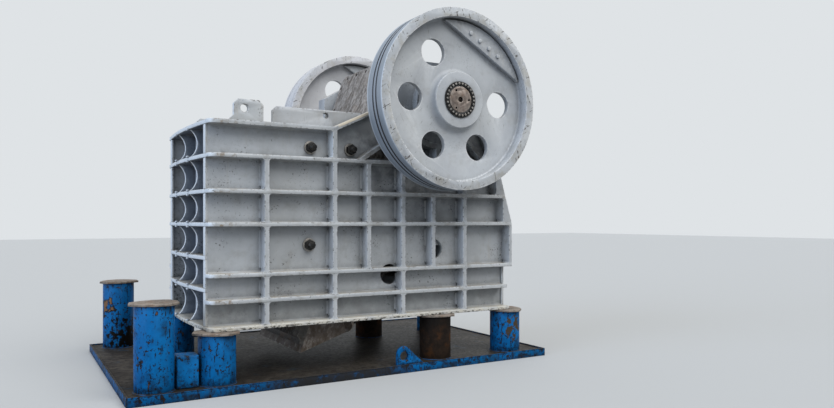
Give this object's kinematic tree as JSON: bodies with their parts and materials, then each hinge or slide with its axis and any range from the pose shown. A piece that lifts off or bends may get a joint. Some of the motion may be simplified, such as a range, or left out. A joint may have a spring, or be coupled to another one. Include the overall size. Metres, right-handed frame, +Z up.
{
  "type": "single toggle jaw crusher on a workshop stand",
  "caption": "Single toggle jaw crusher with a ribbed welded frame, two grooved flywheels on an eccentric shaft and toothed jaws, standing on a steel workshop stand.",
  "frame": {"origin": "centre of the overall box at floor level, under the stand", "axes": "+Z up; +X along the machine from its front wall to its rear; the near side of the picture faces -Y; the rotor turns about Y"},
  "size_m": [4.75, 3.44, 3.9169],
  "materials": {
    "frame_paint": "light grey workshop paint",
    "stand_blue": "worn blue paint with rust chips",
    "rusty_steel": "rusted pipe",
    "cap_steel": "flame cut plate with rust",
    "bare_steel": "machined",
    "dark_steel": "black oxide",
    "manganese_steel": "as cast",
    "shaft_steel": "turned, oily",
    "cast_steel": "raw casting"
  },
  "bodies": {
    "frame": {"stand_base": "stand_blue", "stand_rim": "stand_blue", "stand_lug": "stand_blue", "short_posts": "stand_blue", "rusty_posts": "rusty_steel", "tall_posts": "stand_blue", "square_post": "stand_blue", "post_caps": "cap_steel", "side_wall_near": "frame_paint", "side_wall_far": "frame_paint", "side_ribs_near": "frame_paint", "side_ribs_far": "frame_paint", "side_posts_near": "frame_paint", "side_posts_far": "frame_paint", "side_flange_near": "frame_paint", "side_flange_far": "frame_paint", "front_wall": "frame_paint", "front_ribs": "frame_paint", "front_posts": "frame_paint", "rear_wall": "frame_paint", "toggle_beam": "frame_paint", "toggle_seat": "bare_steel", "toggle_plate": "bare_steel", "tension_rods": "bare_steel", "tension_springs": "dark_steel", "bearing_housing_near": "frame_paint", "bearing_housing_far": "frame_paint", "lifting_lug_near": "frame_paint", "lifting_lug_far": "frame_paint", "cheek_plates_near": "frame_paint", "cheek_plates_far": "frame_paint", "liner_bolts_near": "dark_steel", "liner_bolts_far": "dark_steel", "fixed_jaw": "manganese_steel"},
    "rotor": {"eccentric_shaft": "shaft_steel", "flywheel_near": "frame_paint", "flywheel_far": "frame_paint", "counterweights_near": "frame_paint", "counterweights_far": "frame_paint", "locking_ring_near": "dark_steel", "locking_ring_far": "dark_steel"},
    "pitman": {"pitman": "cast_steel", "moving_jaw": "manganese_steel", "jaw_wedge": "bare_steel", "pitman_seat": "bare_steel"}
  },
  "joints": [
    {"name": "rotor_spin", "type": "hinge", "parent": "frame", "child": "rotor", "pos_m": [0.933, -0.265, 2.942], "axis": [0, 1, 0], "continuous": true},
    {"name": "pitman_orbit", "type": "hinge", "parent": "rotor", "child": "pitman", "pos_m": [0.924, -0.265, 2.92641], "axis": [0, 1, 0], "continuous": true}
  ],
  "couplings": [
    {"joint": "pitman_orbit", "follows": "rotor_spin", "ratio": -1}
  ]
}
